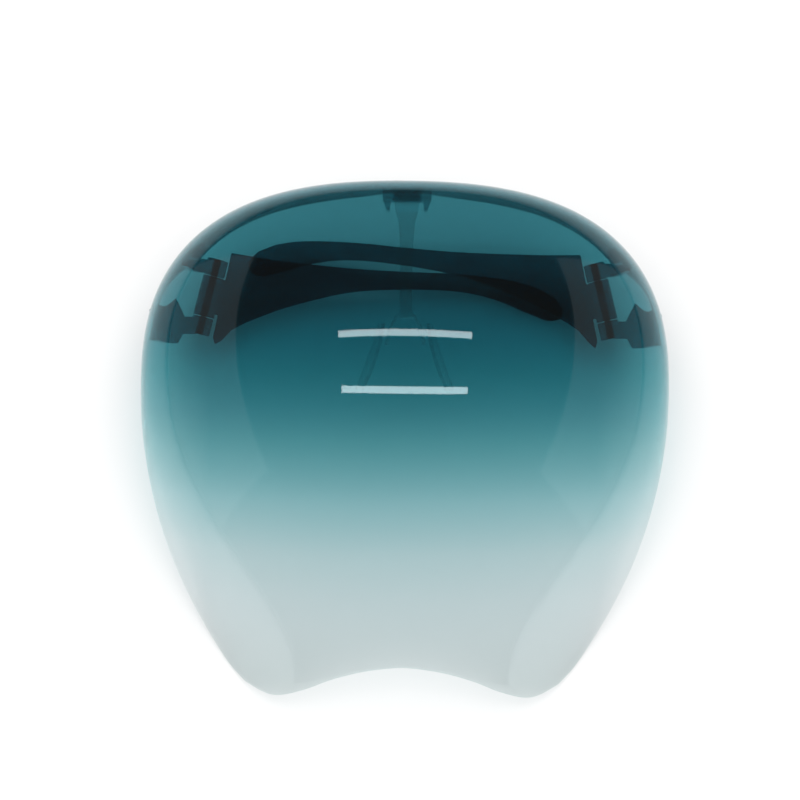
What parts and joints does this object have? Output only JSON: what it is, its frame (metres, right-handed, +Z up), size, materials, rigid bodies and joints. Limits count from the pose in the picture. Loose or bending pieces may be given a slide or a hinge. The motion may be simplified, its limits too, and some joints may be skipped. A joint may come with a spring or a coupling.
{
  "type": "bubble face shield",
  "caption": "Gradient-tinted bubble face shield with folding temples and a clip-in nosepiece, worn like glasses to guard the whole face.",
  "frame": {"origin": "centre of the footprint, on the surface that the shield lies on", "axes": "+Z up out of the front of the bubble as it lies face up, +Y towards the brow, +X to the right as seen from the front"},
  "size_m": [0.2026, 0.1902, 0.0993],
  "materials": {
    "tinted_shell": "gradient-tinted transparent, polished",
    "temple_tint": "dark tinted transparent, polished",
    "clear_plastic": "colourless clear",
    "pin_plastic": "smooth"
  },
  "bodies": {
    "shield": {"shield": "tinted_shell", "nose_socket": "tinted_shell", "nosepiece_stem": "clear_plastic", "nose_pad_left": "clear_plastic", "nose_pad_right": "clear_plastic", "hinge_pin_upper_left": "pin_plastic", "hinge_pin_lower_left": "pin_plastic", "hinge_pin_upper_right": "pin_plastic", "hinge_pin_lower_right": "pin_plastic"},
    "temple_left": {"temple_left": "temple_tint"},
    "temple_right": {"temple_right": "temple_tint"}
  },
  "joints": [
    {"name": "temple_left_fold", "type": "hinge", "parent": "shield", "child": "temple_left", "pos_m": [-0.0804, 0.06188, 0.01961], "axis": [0.2419, 0.9249, 0.2934], "range_deg": [0, 88]},
    {"name": "temple_right_fold", "type": "hinge", "parent": "shield", "child": "temple_right", "pos_m": [0.0804, 0.06188, 0.01961], "axis": [0.2419, -0.9249, -0.2934], "range_deg": [0, 88]}
  ],
  "couplings": [
    {"joint": "temple_right_fold", "follows": "temple_left_fold", "ratio": 1}
  ]
}
